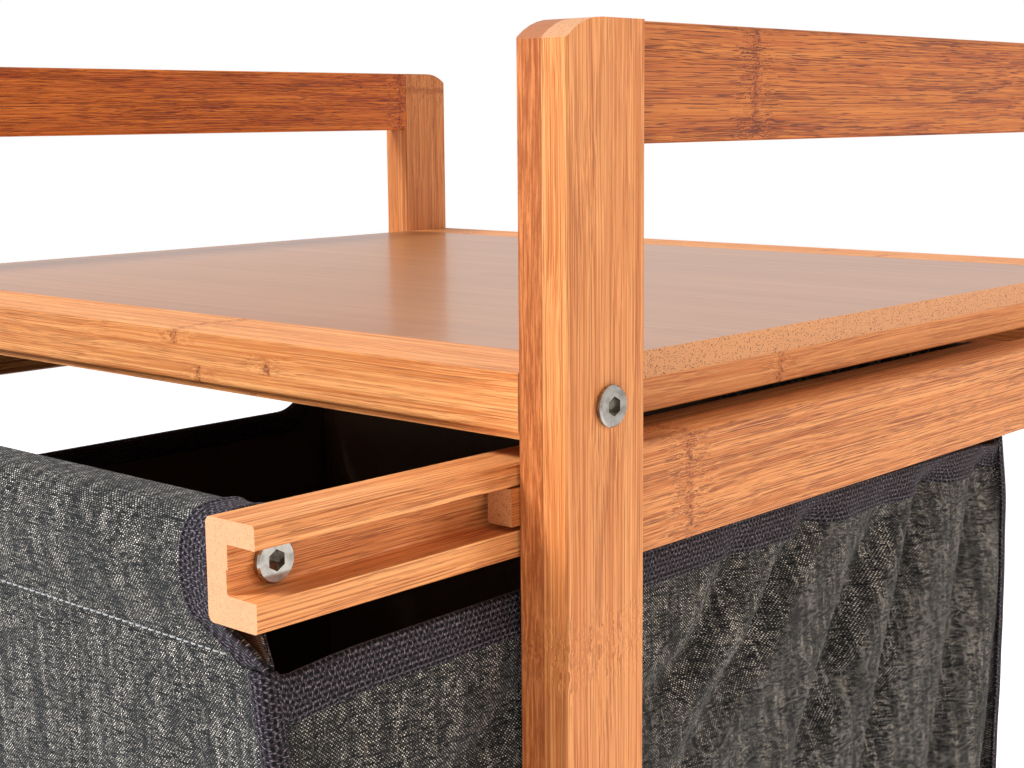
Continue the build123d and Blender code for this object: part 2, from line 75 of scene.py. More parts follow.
class Graph:
    """The nodes of one material, with short ways to add them and join them."""

    def __init__(self, name):
        self.material = bpy.data.materials.new(name)
        self.material.use_nodes = True
        self.tree = self.material.node_tree
        self.shader = self.tree.nodes["Principled BSDF"]

    def put(self, socket, value):
        if isinstance(value, bpy.types.NodeSocket):
            self.tree.links.new(value, socket)
        else:
            socket.default_value = value

    def set(self, **values):
        """Inputs of the shader: coat_weight=0.2 sets its Coat Weight."""
        for name, value in values.items():
            socket = next(s for s in self.shader.inputs if s.name.lower().replace(" ", "_") == name)
            self.put(socket, value)

    def math(self, operation, *values):
        node = self.tree.nodes.new("ShaderNodeMath")
        node.operation = operation
        for socket, value in zip(node.inputs, values):
            self.put(socket, value)
        return node.outputs[0]

    def add(self, a, b):
        return self.math("ADD", a, b)

    def times(self, a, b):
        return self.math("MULTIPLY", a, b)

    def combine(self, *parts):
        node = self.tree.nodes.new("ShaderNodeCombineXYZ")
        for socket, value in zip(node.inputs, parts):
            self.put(socket, value)
        return node.outputs[0]

    def split(self, vector):
        node = self.tree.nodes.new("ShaderNodeSeparateXYZ")
        self.put(node.inputs[0], vector)
        return list(node.outputs)

    def place(self):
        """The point's X, Y and Z in the object's own frame, in millimetres."""
        coordinates = self.tree.nodes.new("ShaderNodeTexCoord")
        return [self.times(part, MILLIMETRES) for part in self.split(coordinates.outputs["Object"])]

    def facing(self):
        """The three parts of the surface's direction in the object's own frame."""
        coordinates = self.tree.nodes.new("ShaderNodeTexCoord")
        return self.split(coordinates.outputs["Normal"])

    def cut(self):
        """The point's two coordinates on the flat cut of a cloth, in millimetres."""
        node = self.tree.nodes.new("ShaderNodeUVMap")
        node.uv_map = CLOTH_MAP
        return self.split(node.outputs[0])[:2]

    def noise(self, parts, detail=2.0, roughness=0.5):
        node = self.tree.nodes.new("ShaderNodeTexNoise")
        self.put(node.inputs["Vector"], self.combine(*parts))
        node.inputs["Scale"].default_value = 1.0
        node.inputs["Detail"].default_value = detail
        node.inputs["Roughness"].default_value = roughness
        return node.outputs["Fac"]

    def fibrous(self, along, across, slow, fast, detail=2.0, roughness=0.5):
        """Noise drawn out along the fibres: slow and fast are its scales along them and across them."""
        parts = [self.times(along, slow)] + [self.times(part, fast) for part in across]
        return self.noise(parts, detail, roughness)

    def cells(self, parts):
        """The distance to the nearest point of a random scatter, one point to each unit cube."""
        node = self.tree.nodes.new("ShaderNodeTexVoronoi")
        self.put(node.inputs["Vector"], self.combine(*parts))
        node.inputs["Scale"].default_value = 1.0
        return node.outputs["Distance"]

    def chance(self, *parts):
        """A random value from 0 to 1 for each different set of parts."""
        node = self.tree.nodes.new("ShaderNodeTexWhiteNoise")
        self.put(node.inputs["Vector"], self.combine(*parts))
        return node.outputs["Value"]

    def ease(self, value, low, high, start=0.0, end=1.0):
        """A smooth step from start, where the value is low, to end, where it is high."""
        node = self.tree.nodes.new("ShaderNodeMapRange")
        node.interpolation_type = "SMOOTHSTEP"
        for socket, number in zip(node.inputs, (value, low, high, start, end)):
            self.put(socket, number)
        return node.outputs[0]

    def mix(self, factor, a, b, mode="MIX"):
        node = self.tree.nodes.new("ShaderNodeMix")
        node.data_type = "RGBA"
        node.blend_type = mode
        self.put(node.inputs["Factor"], factor)
        self.put(node.inputs[6], a)
        self.put(node.inputs[7], b)
        return node.outputs[2]

    def grey(self, value):
        """A number as a grey colour."""
        node = self.tree.nodes.new("ShaderNodeCombineColor")
        for socket in node.inputs:
            self.put(socket, value)
        return node.outputs[0]

    def thread(self, beside, along):
        """How high a thread stands, from how far a point is beside its middle and along from its crest."""
        return self.times(self.ease(beside, 0.15, 0.5, 1.0, 0.0), self.ease(along, 0.25, 0.5, 1.0, 0.55))

    def bump(self, height, depth, strength=1.0):
        node = self.tree.nodes.new("ShaderNodeBump")
        node.inputs["Strength"].default_value = strength
        node.inputs["Distance"].default_value = depth
        self.put(node.inputs["Height"], height)
        self.put(self.shader.inputs["Normal"], node.outputs[0])


PALE = colour(242, 166, 99)
HONEY = colour(192, 106, 48)
DEEP = colour(146, 70, 22)
DASH = colour(108, 44, 10)
END_PALE = colour(204, 142, 96)
END_DARK = colour(132, 74, 36)
# How wide and how long the strips of the board's panel are, in millimetres
BOARD_STRIP = 19.0
BOARD_LENGTH = 300.0


def bamboo(name, grain, tint=(1.0, 1.0, 1.0), dashes=0.5, knot_at=0.0, knot_pitch=260.0, scatter=0.0,
           strips=(400.0, 400.0), strip_shift=(0.0, 0.0), dark_layer=None, end_dots=0.5, lines=0.5,
           pits=0.7):
    """Laminated bamboo whose fibres run along one axis, 0 for X, 1 for Y and 2 for Z.
    Its strips are as wide as strips says along the two other axes, and each has its own tone and, as far
    as scatter says, its own place for the nodes of the cane. dark_layer is (axis, limit): nearer to the
    middle of the cart than that limit, the wood is the darker inner layer."""
    graph = Graph(name)
    axes = graph.place()
    along = axes[grain]
    across = [axes[i] for i in range(3) if i != grain]
    strip = [
        graph.math("FLOOR", graph.math("DIVIDE", graph.add(part, shift), width))
        for part, shift, width in zip(across, strip_shift, strips)
    ]
    tone = graph.chance(strip[0], strip[1], 1.0)
    # The nodes of the cane: a thin pitted line right across a strip, with wavy fibres beside it
    offset = graph.times(graph.chance(strip[0], strip[1], 2.0), scatter * knot_pitch)
    from_knot = graph.add(graph.add(along, -knot_at), offset)
    from_knot = graph.math("WRAP", from_knot, knot_pitch / 2, -knot_pitch / 2)
    ragged = graph.noise([graph.times(part, 0.35) for part in across] + [0.0], detail=3)
    from_knot = graph.math("ABSOLUTE", graph.add(from_knot, graph.times(graph.add(ragged, -0.5), 7.0)))
    knot = graph.ease(from_knot, 0.6, 2.6, 1.0, 0.0)
    inner = 0.0
    if dark_layer is not None:
        axis, edge = dark_layer
        inner = graph.math("LESS_THAN", graph.math("ABSOLUTE", axes[axis]), edge)
        knot = graph.times(knot, graph.ease(inner, 0.0, 1.0, 0.12, 1.0))
    near_knot = graph.ease(from_knot, 2.0, 16.0, 1.0, 0.0)
    sway = graph.fibrous(along, across, 0.012, 0.06, 1)
    twist = graph.fibrous(along, across, 0.16, 0.35, 2)
    sway = graph.times(graph.add(sway, -0.5), 3.0)
    sway = graph.add(sway, graph.times(graph.times(graph.add(twist, -0.5), near_knot), 2.4))
    across = [graph.add(part, sway) for part in across]
    # Fibres, broad streaks, long dark lines and the short dashes of the vessels
    fibre = graph.fibrous(along, across, 0.006, 1.7, 3, 0.75)
    streak = graph.fibrous(along, across, 0.003, 0.30, 2, 0.6)
    patch = graph.fibrous(along, across, 0.012, 0.16, 1)
    vessel = graph.fibrous(along, across, 0.075, 3.3, 1, 0.6)
    vessel = graph.add(vessel, graph.times(graph.add(patch, -0.5), 0.22))
    vessel = graph.ease(graph.add(vessel, graph.times(near_knot, 0.045)), 0.58, 0.64, 0.0, dashes)
    line = graph.fibrous(along, across, 0.008, 2.6, 2, 0.6)
    line = graph.add(line, graph.times(graph.add(patch, -0.5), 0.18))
    line = graph.ease(line, 0.53, 0.62, 0.0, lines)
    pit = graph.fibrous(along, across, 0.8, 0.9, 2)
    pit = graph.times(graph.ease(pit, 0.50, 0.60), knot)
    light = graph.times(graph.ease(fibre, 0.40, 0.60), 0.62)
    light = graph.add(light, graph.times(graph.ease(streak, 0.35, 0.65), 0.38))
    wood = graph.mix(light, HONEY, PALE)
    wood = graph.mix(graph.ease(tone, 0.0, 1.0, 0.25, 0.0), wood, HONEY)
    if dark_layer is not None:
        mottle = graph.fibrous(along, across, 0.06, 0.9, 4, 0.8)
        inner_wood = graph.mix(graph.ease(mottle, 0.40, 0.62), DEEP, colour(200, 116, 60))
        wood = graph.mix(graph.times(inner, 0.92), wood, inner_wood)
        rim = graph.math("ABSOLUTE", graph.add(graph.math("ABSOLUTE", axes[axis]), -edge))
        wood = graph.mix(graph.ease(rim, 0.0, 0.5, 0.55, 0.0), wood, DASH)
    wood = graph.mix(graph.times(line, 0.85), wood, DEEP)
    wood = graph.mix(graph.times(knot, 0.40), wood, colour(182, 96, 42))
    wood = graph.mix(vessel, wood, DASH)
    wood = graph.mix(graph.times(pit, pits), wood, DASH)
    # End grain: the vessels cut across, as small dark dots
    end = graph.ease(graph.math("ABSOLUTE", graph.facing()[grain]), 0.70, 0.80)
    dot = graph.cells([graph.times(along, 0.02)] + [graph.times(part, 2.4) for part in across])
    dot_size = graph.noise([0.0] + [graph.times(part, 0.6) for part in across], 1)
    dot = graph.ease(graph.math("SUBTRACT", dot, graph.times(dot_size, 0.55)), -0.04, 0.12, end_dots, 0.0)
    end_wood = graph.mix(graph.times(inner, 0.7), graph.mix(dot, END_PALE, END_DARK), DEEP)
    wood = graph.mix(end, wood, end_wood)
    wood = graph.mix(1.0, wood, tint + (1.0,), "MULTIPLY")
    height = graph.math("SUBTRACT", graph.add(fibre, graph.times(knot, 0.8)), graph.times(vessel, 0.8))
    height = graph.math("SUBTRACT", height, graph.add(graph.times(pit, 1.6), graph.times(line, 0.8)))
    graph.bump(height, 0.12 * MM, 0.6)
    graph.set(base_color=wood, roughness=graph.ease(fibre, 0.2, 0.8, 0.60, 0.48), specular_ior_level=0.3)
    return graph.material


def lacquered_board():
    """The board's panel: wide strips of bamboo along X under a satin lacquer."""
    graph = Graph("board_lacquer")
    x, y, z = graph.place()
    strip = graph.math("FLOOR", graph.math("DIVIDE", y, BOARD_STRIP))
    shifted = graph.add(x, graph.times(graph.chance(strip, 3.0, 0.0), BOARD_LENGTH))
    length = graph.math("FLOOR", graph.math("DIVIDE", shifted, BOARD_LENGTH))
    tone = graph.chance(strip, length, 0.0)
    wave = graph.noise([graph.times(x, 0.01), graph.times(y, 0.05), 0.0], 1)
    y = graph.add(y, graph.times(graph.add(wave, -0.5), 2.0))
    fibre = graph.noise([graph.times(x, 0.008), graph.times(y, 1.6), graph.times(z, 1.6)], 3, 0.6)
    streak = graph.noise([graph.times(x, 0.003), graph.times(y, 0.25), 0.0], 2)
    dash = graph.noise([graph.times(x, 0.05), graph.times(y, 2.4), graph.times(z, 2.4)], 1)
    dash = graph.ease(dash, 0.66, 0.74, 0.0, 0.35)
    light = graph.add(graph.times(fibre, 0.5), graph.times(graph.ease(streak, 0.3, 0.7), 0.5))
    wood = graph.mix(light, colour(146, 89, 45), colour(168, 108, 62))
    wood = graph.mix(graph.ease(tone, 0.0, 1.0, 0.0, 0.35), wood, colour(138, 80, 38))
    wood = graph.mix(dash, wood, DASH)
    seam = graph.math("ABSOLUTE", graph.math("WRAP", y, BOARD_STRIP / 2, -BOARD_STRIP / 2))
    wood = graph.mix(graph.ease(seam, 0.0, 0.35, 0.2, 0.0), wood, DEEP)
    end = graph.ease(graph.math("ABSOLUTE", graph.facing()[0]), 0.70, 0.80)
    dot = graph.cells([graph.times(x, 0.02), graph.times(y, 1.05), graph.times(z, 1.5)])
    size = graph.noise([0.0, graph.times(y, 0.4), graph.times(z, 0.8)], 1)
    dot = graph.ease(graph.math("SUBTRACT", dot, graph.times(size, 0.52)), -0.05, 0.09, 0.9, 0.0)
    wood = graph.mix(end, wood, graph.mix(dot, colour(212, 142, 84), colour(112, 58, 22)))
    graph.bump(graph.math("SUBTRACT", fibre, graph.times(dash, 1.5)), 0.04 * MM, 0.3)
    graph.set(base_color=wood, roughness=graph.ease(fibre, 0.2, 0.8, 0.46, 0.38))
    graph.set(specular_ior_level=0.25, coat_weight=0.34, coat_roughness=0.18)
    return graph.material


def metal(name, pale, dark, roughness, brushed=4.0):
    """Plated metal with a very fine grain and faint cloudy marks."""
    graph = Graph(name)
    x, y, z = graph.place()
    grain = graph.noise([graph.times(x, brushed), graph.times(y, brushed), graph.times(z, brushed * 0.3)], 3)
    cloud = graph.noise([graph.times(part, 0.25) for part in (x, y, z)], 2)
    mark = graph.ease(cloud, 0.35, 0.75)
    graph.bump(grain, 0.004 * MM, 0.3)
    graph.set(base_color=graph.mix(mark, pale, dark), metallic=1.0)
    graph.set(roughness=graph.ease(grain, 0.3, 0.7, roughness - 0.04, roughness + 0.04))
    return graph.material


def moulded(name, shade, roughness, grain=2.2, depth=0.05):
    """Moulded plastic or rubber with a fine spark grain and slight scuffs."""
    graph = Graph(name)
    parts = graph.place()
    texture = graph.noise([graph.times(part, grain) for part in parts], 3)
    scuff = graph.ease(graph.noise([graph.times(part, 0.25) for part in parts], 4), 0.52, 0.72)
    pale = tuple(0.6 * part + 0.10 for part in shade[:3]) + (1.0,)
    graph.bump(texture, depth * MM, 0.5)
    graph.set(base_color=graph.mix(graph.times(scuff, 0.35), shade, pale))
    graph.set(roughness=graph.ease(texture, 0.3, 0.7, roughness - 0.06, roughness + 0.08))
    return graph.material


def woven(name, thread, dark, pale, share, relief):
    """Plain weave of a dark warp and a paler weft of melange yarn: share is how much of the weft is pale."""
    graph = Graph(name)
    u, v = (graph.math("DIVIDE", part, thread) for part in graph.cut())
    wander = graph.noise([graph.times(u, 0.03), graph.times(v, 0.03), 4.0], 2)
    u = graph.add(u, graph.times(wander, 0.9))
    v = graph.add(v, graph.times(wander, -0.6))
    warp, weft = graph.math("FLOOR", u), graph.math("FLOOR", v)
    slub = graph.noise([graph.times(u, 0.16), graph.times(v, 0.012), 7.0], 2)
    cloud = graph.noise([graph.times(u, 0.055), graph.times(v, 0.045), 2.0], 3, 0.7)
    warp_tone = graph.noise([graph.times(warp, 3.7), graph.times(v, 0.06), 0.0], 1)
    weft_tone = graph.noise([graph.times(u, 0.17), graph.times(weft, 3.7), 9.0], 1)
    warp_tone = graph.ease(warp_tone, 0.52, 0.74, 0.0, share * 0.7)
    weft_tone = graph.ease(weft_tone, 0.64 - share * 0.5, 0.94 - share * 0.5)
    over = graph.math("MODULO", graph.math("ABSOLUTE", graph.add(warp, weft)), 2.0)
    tone = graph.split(graph.mix(over, graph.grey(warp_tone), graph.grey(weft_tone)))[0]
    fleck = graph.chance(warp, weft, 5.0)
    level = graph.times(tone, graph.ease(fleck, 0.10, 0.80, 0.25, 1.0))
    level = graph.times(level, graph.ease(slub, 0.38, 0.62, 0.40, 1.0))
    level = graph.times(level, graph.ease(cloud, 0.32, 0.64, 0.50, 1.0))
    strand = graph.mix(level, dark, pale)
    from_warp = graph.math("ABSOLUTE", graph.add(graph.math("FRACT", u), -0.5))
    from_weft = graph.math("ABSOLUTE", graph.add(graph.math("FRACT", v), -0.5))
    warp_up = graph.thread(from_warp, from_weft)
    weft_up = graph.thread(from_weft, from_warp)
    height = graph.split(graph.mix(over, graph.grey(warp_up), graph.grey(weft_up)))[0]
    # Painted shade: where the threads sink between one another, the colour darkens towards a near-black.
    thread_gap_shade = tuple(0.3 * part for part in dark[:3]) + (1.0,)
    strand = graph.mix(graph.ease(height, 0.22, 0.90, 1.0, 0.0), strand, thread_gap_shade)
    graph.bump(height, relief * MM, 0.7)
    graph.set(base_color=strand, roughness=graph.ease(fleck, 0.0, 1.0, 0.80, 0.94))
    graph.set(sheen_weight=0.06, sheen_roughness=0.5, specular_ior_level=0.15)
    return graph.material


def mesh_tape(name):
    """Dark knitted binding tape: rows of small holes, staggered, with thin pale filaments between them."""
    graph = Graph(name)
    u, v = graph.cut()
    row = graph.math("DIVIDE", v, 1.6)
    stagger = graph.math("MODULO", graph.math("ABSOLUTE", graph.math("FLOOR", row)), 2.0)
    column = graph.add(graph.math("DIVIDE", u, 1.9), graph.times(stagger, 0.5))
    wobble = graph.noise([graph.times(u, 0.4), graph.times(v, 0.4), 0.0], 2)
    dx = graph.add(graph.math("FRACT", graph.add(column, graph.times(wobble, 0.3))), -0.5)
    dy = graph.times(graph.add(graph.math("FRACT", row), -0.5), 1.1)
    from_hole = graph.math("SQRT", graph.add(graph.times(dx, dx), graph.times(dy, dy)))
    hole = graph.ease(from_hole, 0.31, 0.39, 1.0, 0.0)
    filament = graph.noise([graph.times(u, 2.6), graph.times(v, 1.1), 0.0], 3)
    knit = graph.mix(graph.ease(filament, 0.50, 0.66), colour(40, 33, 36), colour(126, 112, 117))
    # Painted shade: the holes are coloured near black, darker than the cloth under them, for the shade inside
    # them.
    knit = graph.mix(graph.times(hole, 0.94), knit, colour(3, 2, 3))
    graph.bump(graph.math("SUBTRACT", graph.times(filament, 0.6), hole), 0.20 * MM, 0.6)
    graph.set(base_color=knit, roughness=graph.ease(filament, 0.3, 0.7, 0.80, 0.60))
    graph.set(sheen_weight=0.03, sheen_roughness=0.4, specular_ior_level=0.1)
    return graph.material


def yarn(name, pale, dark):
    """Twisted sewing thread."""
    graph = Graph(name)
    twist = graph.noise([graph.times(part, 3.0) for part in graph.place()], 2)
    graph.bump(twist, 0.08 * MM, 0.6)
    graph.set(base_color=graph.mix(twist, dark, pale), roughness=0.7, sheen_weight=0.2)
    return graph.material


def paint(names, material):
    """Gives the CAD nodes with these names a material."""
    for name in names:
        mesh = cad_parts[name].data
        mesh.materials.clear()
        mesh.materials.append(material)


def paint_wood():
    """Every piece of bamboo, with its fibres along the piece."""
    lamination = middle(POST, 0) * MILLIMETRES
    tints = {
        "handle": {"right": (0.74, 0.54, 0.22), "left": (0.80, 0.48, 0.07)},
        "post": {"right": (1.0, 1.0, 1.0), "left": (0.74, 0.65, 0.52)},
    }
    for side in SIDES:
        near = side == "right"
        post = bamboo(
            f"bamboo_post_{side}", 2, tint=tints["post"][side], dashes=0.2, lines=0.75,
            knot_at=586.0 if near else 420.0, knot_pitch=330.0, strips=(9.0, 40.0), pits=0.4,
            dark_layer=(0, lamination) if near else None,
        )
        paint([f"post_{end}_{side}" for end in ENDS], post)
        handle = bamboo(
            f"bamboo_handle_{side}", 1, tint=tints["handle"][side], dashes=0.9, lines=1.0,
            knot_at=-70.7, knot_pitch=290.0,
        )
        paint([f"handle_rail_{side}"], handle)
        rail = bamboo(
            f"bamboo_upper_rail_{side}", 1, tint=(0.96, 0.94, 0.91), dashes=0.6, lines=0.95,
            knot_at=-105.4, knot_pitch=300.0,
        )
        paint([f"upper_side_rail_{side}"], rail)
        paint([f"lower_side_rail_{side}"], bamboo(f"bamboo_lower_rail_{side}", 1, dashes=0.5, knot_at=70.0))
        paint([f"board_batten_{side}"], bamboo(f"bamboo_batten_{side}", 1, dashes=0.3, knot_at=-33.0))
        runner = bamboo(f"bamboo_runner_{side}", 1, tint=(0.78, 0.64, 0.50), dashes=0.6, end_dots=0.95)
        paint([f"runner_{side}"], runner)
        # The channel's tint lightens it past its wood's own colour: painted light, for the light that the
        # groove under its lip does not get.
        channel = bamboo(
            f"bamboo_channel_{side}", 1, tint=(1.10, 1.16, 1.24), dashes=0.5, lines=0.8, knot_at=20.0,
            knot_pitch=600.0, end_dots=0.45,
        )
        paint([f"channel_{side}"], channel)
    for end in ENDS:
        rail = bamboo(
            f"bamboo_board_{end}", 0, tint=(1.08, 1.12, 1.15), dashes=0.35, knot_at=117.0, knot_pitch=280.0,
            strips=(40.0, 6.4), strip_shift=(0.0, 0.2), scatter=0.25,
        )
        paint([f"board_{end}_rail"], rail)
        paint([f"lower_{end}_stretcher"], bamboo(f"bamboo_stretcher_{end}", 0, dashes=0.5, knot_at=60.0))
        paint([f"crossbar_{end}"], bamboo(f"bamboo_crossbar_{end}", 0, dashes=0.5, knot_at=-90.0))
    paint(["rear_stop_rail"], bamboo("bamboo_stop_rail", 0, dashes=0.5, knot_at=-40.0))
    paint(["board_panel"], lacquered_board())
    paint(["rail_dowels"], bamboo("dowel_beech", 1, tint=(0.95, 0.98, 0.95), dashes=0.2))


def paint_hardware():
    nickel = metal("satin_nickel", colour(176, 169, 160), colour(128, 120, 112), 0.13)
    zinc = metal("bright_zinc", colour(206, 209, 212), colour(160, 164, 170), 0.30, 2.0)
    brass = metal("turned_brass", colour(206, 172, 104), colour(160, 126, 66), 0.34)
    hub = moulded("hub_plastic", colour(34, 34, 36), 0.45)
    tread = moulded("grey_tread", colour(92, 93, 96), 0.62, 1.2, 0.08)
    pedal = moulded("brake_plastic", colour(30, 30, 32), 0.42)
    paint(["frame_bolts", "channel_bolts", "runner_screws"], nickel)
    paint(["frame_inserts", "crossbar_inserts"], brass)
    paint(["swivel_washers"], moulded("washer_nylon", colour(226, 226, 220), 0.40))
    paint(["caster_stems", "caster_inserts"], zinc)
    for end in ENDS:
        for side in SIDES:
            paint([f"fork_{end}_{side}", f"axle_{end}_{side}"], zinc)
            paint([f"wheel_hub_{end}_{side}"], hub)
            paint([f"tyre_{end}_{side}"], tread)
    paint([f"brake_lever_front_{side}" for side in SIDES], pedal)


# The bag. Its walls are one loft of rings from the mouth down to the floor, folded a little and then
# draped by a cloth simulation. The four panels are cut from it afterwards at the corner seams.
# A droop is how far the mouth's edge hangs below the corners along one side; less than 0 stands up.

CLOTH = 1.4 * MM
TAPE = 0.9 * MM
STITCH_GAP = 0.28
TAPE_PITCH = 2.8 * MM
TAPE_THREAD = 0.17 * MM
BAR_TO_FRONT = 6.9 * MM
FRONT_FACE = middle(CROSSBARS["front"], 1) - BAR_TO_FRONT
BACK_FACE = middle(CROSSBARS["back"], 1) + BAR_TO_FRONT
HALF_WIDTH = SIDE_PANEL[1].x - 1.0 * MM
SIDE_TOP = SIDE_PANEL[1].z
WALL_LIMIT = SIDE_PANEL[1].x + 2.4 * MM
SLEEVE_FOOT = middle(CROSSBARS["front"], 2) - 25.7 * MM
SLEEVE_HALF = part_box("channel_right")[0].x - 0.9 * MM
FLARE_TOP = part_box("channel_right")[0].z - 1.0 * MM
CORNER_TOP = SLEEVE_FOOT - 1.0 * MM
LEFT_DROOP = 30.0 * MM
RIGHT_DROOP = -2.5 * MM
RIGHT_RISE = 2.6 * MM
CORNER_EASE = 3.0 * MM
DROOP_REACH = 34.0 * MM
BELLY = 3.2
BELLY_DEPTH = 26.0 * MM
CORNER_LEAN = 3.4 * MM
CORNER_LEAN_DEPTH = 42.0 * MM
RIGHT_FOLD_SHARE = 1.35
DRAPE_FRAMES = 14
DRAPE_SMOOTHING = 8
DRAPE_LIMIT = 9.0 * MM
COLUMNS_ACROSS = 96
COLUMNS_ALONG = 90
FINE_ROWS = 44
COARSE_ROWS = 30
FINE_DEPTH = 190.0 * MM

# A sleeve in section: how far it is outward from the middle of its crossbar, and how far above it
SLEEVE_PROFILE = [
    (6.9, -26.4), (7.3, -22.7), (8.2, -19.2), (9.6, -15.7), (10.9, -11.7), (11.9, -6.7), (12.3, -1.7),
    (11.9, 3.0), (10.8, 6.6), (8.9, 9.1), (6.4, 10.6), (3.0, 10.9), (-0.5, 10.8), (-4.0, 10.7), (-6.8, 10.0),
    (-8.4, 7.8), (-8.8, 4.3), (-8.9, -2.0), (-8.8, -7.5), (-7.4, -11.2), (-3.5, -14.0), (0.6, -17.6),
    (3.8, -21.6), (5.6, -25.6),
]
# Below this height in the profile, the sleeve is sewn to the panel
SEWN_RISE = -24.0
# Folds of the right panel: points in Y and Z, then how deep and how wide the fold is
RIGHT_FOLDS = [
    ([(-3, 592), (-24, 576), (-40, 554), (-73, 534), (-116, 500)], 8.5, 7.0),
    ([(46, 580), (24, 554), (5, 530), (-11, 510), (-26, 450)], 9.5, 8.5),
    ([(-54, 588), (-67, 569), (-78, 559), (-103, 553), (-136, 549)], 5.0, 4.5),
    ([(34, 530), (16, 526), (26, 512), (20, 500)], 4.5, 3.5),
    ([(85, 592), (60, 540), (38, 490), (-5, 420)], 9.5, 9.5),
    ([(-136, 590), (-176, 560), (-221, 540)], 3.5, 6.0),
    ([(134, 590), (108, 520), (88, 450), (44, 360)], 9.0, 10.5),
    ([(-96, 520), (-146, 470), (-186, 400), (-211, 330)], 7.0, 8.5),
    ([(170, 585), (152, 500), (138, 380)], 7.0, 10.0),
    ([(-150, 584), (-128, 560), (-112, 540)], 4.0, 5.0),
]
# Ridges of the right panel that stand out between its folds
RIGHT_RIDGES = [
    ([(16, 590), (15, 575), (8, 555)], 1.8, 4.5),
    ([(-16, 592), (-36, 578), (-56, 562), (-86, 545)], 2.0, 5.0),
    ([(62, 585), (40, 555), (24, 525), (6, 500)], 2.2, 5.5),
]


def scattered_folds(seed, low, high, count):
    """Soft folds that fall from the mouth of a panel, at random from one seed."""
    rng = random.Random(seed)
    folds = []
    for _ in range(count):
        x = rng.uniform(low, high)
        z = rng.uniform(480, 600)
        lean = rng.uniform(-0.5, 0.5)
        points = [(x, z)]
        for _ in range(3):
            z -= rng.uniform(30, 70)
            x += lean * rng.uniform(20, 50)
            points.append((x, z))
        folds.append((points, rng.uniform(1.2, 3.4), rng.uniform(6, 13)))
    return folds


def fold_depth(folds, a, z):
    """How far the folds push a point in, in millimetres. A fold fades out at its two ends."""
    depth = 0.0
    for points, deep, wide in folds:
        nearest, share, total = 1e9, 0.0, len(points) - 1
        for i in range(total):
            start, end = Vector(points[i]), Vector(points[i + 1])
            run = end - start
            t = max(0.0, min(1.0, (Vector((a, z)) - start).dot(run) / run.length_squared))
            distance = (Vector((a, z)) - (start + run * t)).length
            if distance < nearest:
                nearest, share = distance, (i + t) / total
        if nearest < 3 * wide:
            fade = math.sin(math.pi * min(1.0, 0.18 + 0.82 * share)) ** 0.5 if share < 1 else 0.0
            depth += deep * fade * math.exp(-((nearest / wide) ** 2))
    return depth


def mouth_height(x, y):
    """The height of the mouth's edge: level under the sleeves, and lower along the two sides."""
    along = (y - FRONT_FACE) / (BACK_FACE - FRONT_FACE)
    if not 0.002 < along < 0.998:
        return SLEEVE_FOOT if abs(x) < HALF_WIDTH - 1.0 * MM else CORNER_TOP
    from_corner = min(y - FRONT_FACE, BACK_FACE - y)
    ease = min(1.0, from_corner / CORNER_EASE)
    droop = LEFT_DROOP if x < 0 else RIGHT_DROOP
    sag = droop * math.sin(math.pi / 2 * min(1.0, from_corner / DROOP_REACH))
    rise = RIGHT_RISE * math.sin(math.pi * along) ** 0.7 if x > 0 else 0.0
    return CORNER_TOP + (SIDE_TOP - CORNER_TOP) * ease - sag * ease + rise * ease


def bag_corners():
    """Where each panel's columns begin and end on a ring, in order: front, right, back, left."""
    counts = [COLUMNS_ACROSS, COLUMNS_ALONG, COLUMNS_ACROSS, COLUMNS_ALONG]
    starts = [sum(counts[:i]) for i in range(4)]
    return list(zip(("front", "right", "back", "left"), starts, counts))


def ring_plan():
    """The ring's points in plan, each with the direction that is inward there."""
    half, front, back = HALF_WIDTH, FRONT_FACE, BACK_FACE
    corners = [(-half, front), (half, front), (half, back), (-half, back)]
    inward = [(0, 1), (-1, 0), (0, -1), (1, 0)]
    plan = []
    for index, (_, _, count) in enumerate(bag_corners()):
        start, end = Vector(corners[index]), Vector(corners[(index + 1) % 4])
        for i in range(count):
            plan.append((start.lerp(end, i / count), Vector(inward[index]), i == 0))
    return plan


def row_shares():
    """How far down the wall each ring is, from 0 at the mouth to 1 at the floor."""
    fine = FINE_DEPTH / (SIDE_TOP - BAG_FLOOR)
    return [fine * i / FINE_ROWS for i in range(FINE_ROWS)] + [
        fine + (1 - fine) * i / COARSE_ROWS for i in range(COARSE_ROWS + 1)
    ]


def lofted_walls():
    """The rings of the bag before it is draped: lists of points, from the mouth down."""
    folds = {
        "right": RIGHT_FOLDS,
        "left": scattered_folds(4, -240, 140, 12),
        "front": scattered_folds(7, -200, 200, 11),
        "back": scattered_folds(9, -200, 200, 11),
    }
    names = [name for name, _, count in bag_corners() for _ in range(count)]
    plan = ring_plan()
    tops = [mouth_height(p.x, p.y) for p, _, _ in plan]
    rows = []
    for share in row_shares():
        ring = []
        for name, (point, inward, corner), top in zip(names, plan, tops):
            z = top + (BAG_FLOOR + 1.0 * MM - top) * share
            a = (point.y if name in ("right", "left") else point.x) / MM
            depth = 0.0
            if not corner and share > 0:
                depth = fold_depth(folds[name], a, z / MM)
                if name == "right":
                    depth = RIGHT_FOLD_SHARE * (depth - fold_depth(RIGHT_RIDGES, a, z / MM))
                if name in ENDS:
                    depth -= BELLY * math.sin(math.pi / 2 * min(1.0, (top - z) / BELLY_DEPTH)) * (1 - share)
                ripple = noise.noise(Vector((a * 0.03, z / MM * 0.012, 3.0 if name == "right" else 8.0)))
                depth += 1.6 * ripple * min(1.0, 5 * share)
            place = point + inward * depth * MM
            from_corner = min(abs(place.y - FRONT_FACE), abs(BACK_FACE - place.y))
            from_mouth = min(1.0, (SLEEVE_FOOT - z) / CORNER_LEAN_DEPTH)
            lean = CORNER_LEAN * (1 - from_mouth) ** 2 * math.exp(-from_corner / (20 * MM))
            ring.append(Vector((place.x * (1 - lean / HALF_WIDTH), place.y, z)))
        rows.append(ring)
    return rows


